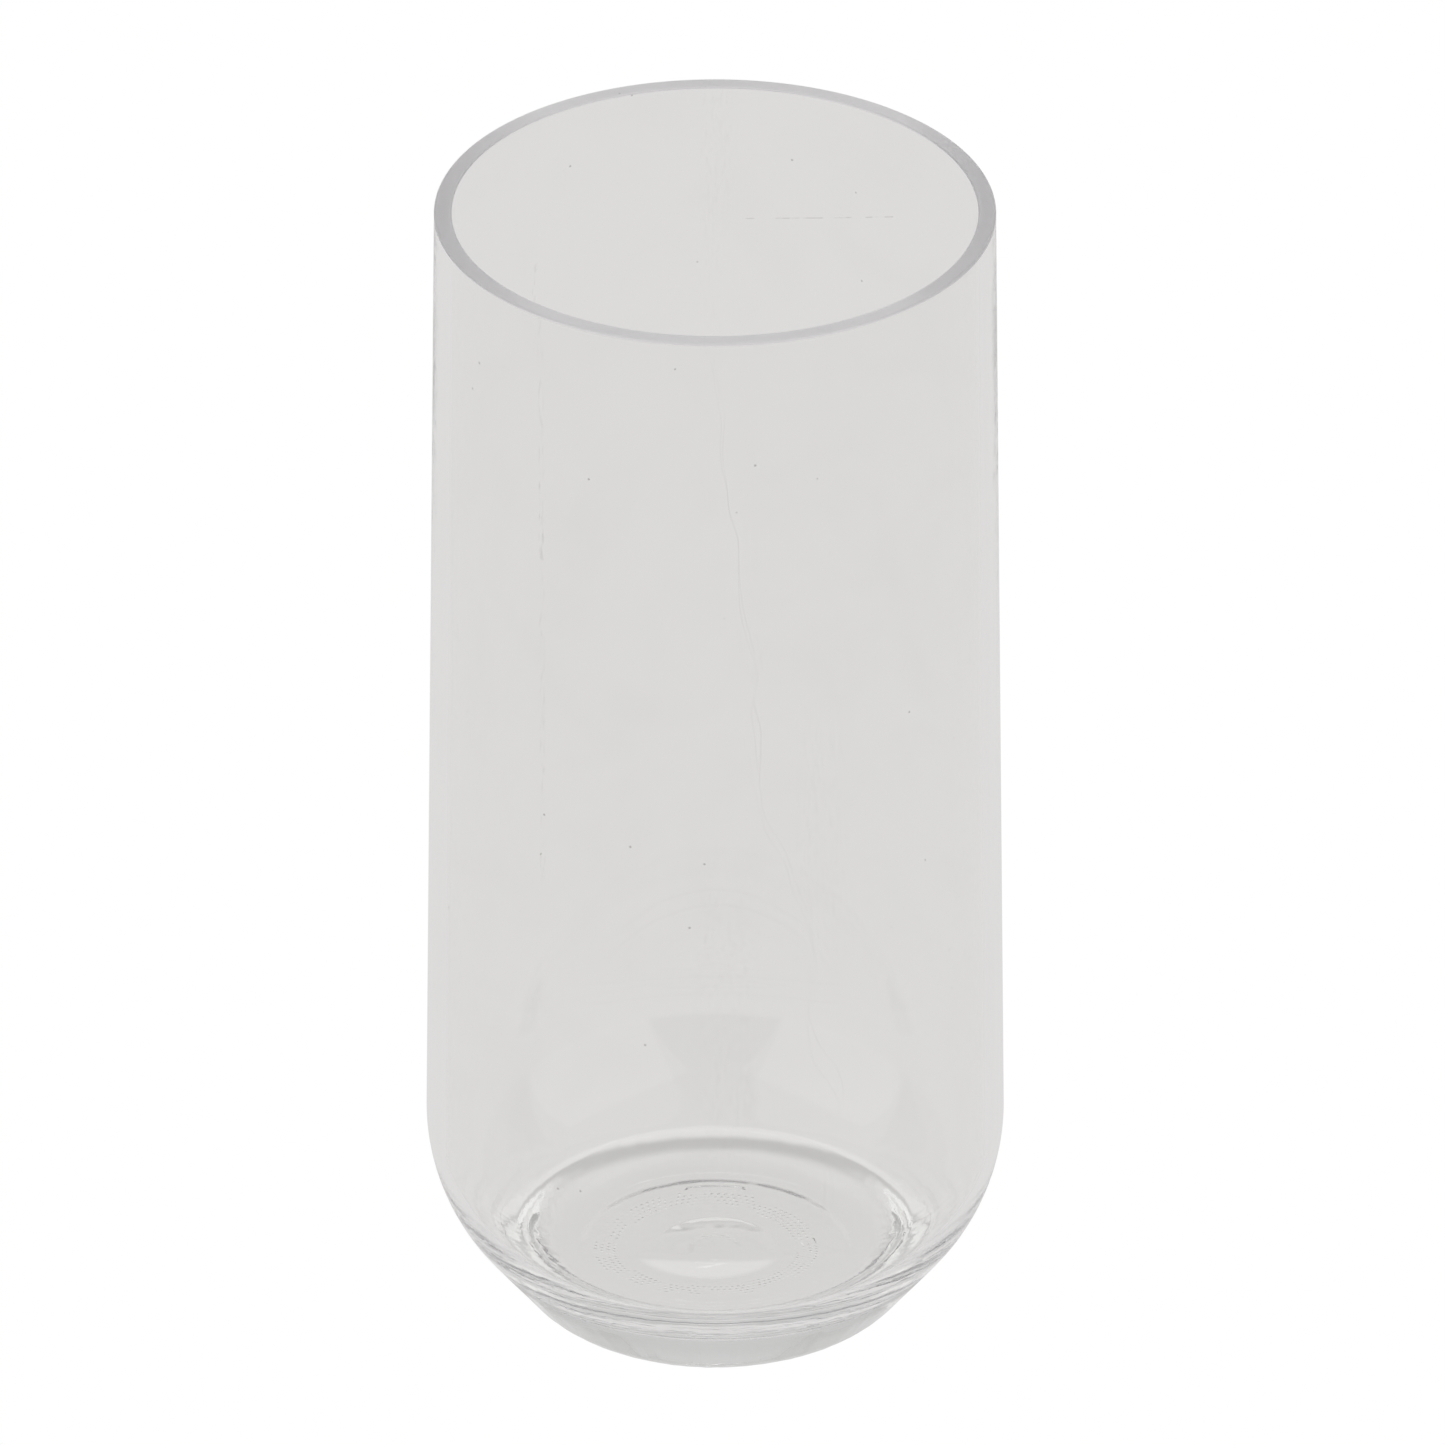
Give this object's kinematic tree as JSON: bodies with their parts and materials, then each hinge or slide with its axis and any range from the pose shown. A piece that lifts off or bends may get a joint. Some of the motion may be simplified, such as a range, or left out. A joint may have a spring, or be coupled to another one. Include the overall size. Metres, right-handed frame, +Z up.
{
  "type": "glass cylinder vase",
  "caption": "Tall clear glass vase with a nearly straight round body, a ground flat rim, a rounded shoulder above a narrower foot and a thick base.",
  "frame": {"origin": "centre of the foot, on the face that the vase stands on", "axes": "+Z up along the axis of the body, towards the open rim; the body is turned about Z, so X and Y are alike"},
  "size_m": [0.118, 0.118, 0.25],
  "materials": {
    "clear_glass": "clear soda-lime glass, fire-polished outside and inside, flat ground and polished rim"
  },
  "bodies": {
    "root": {"glass_body": "clear_glass"}
  },
  "joints": []
}
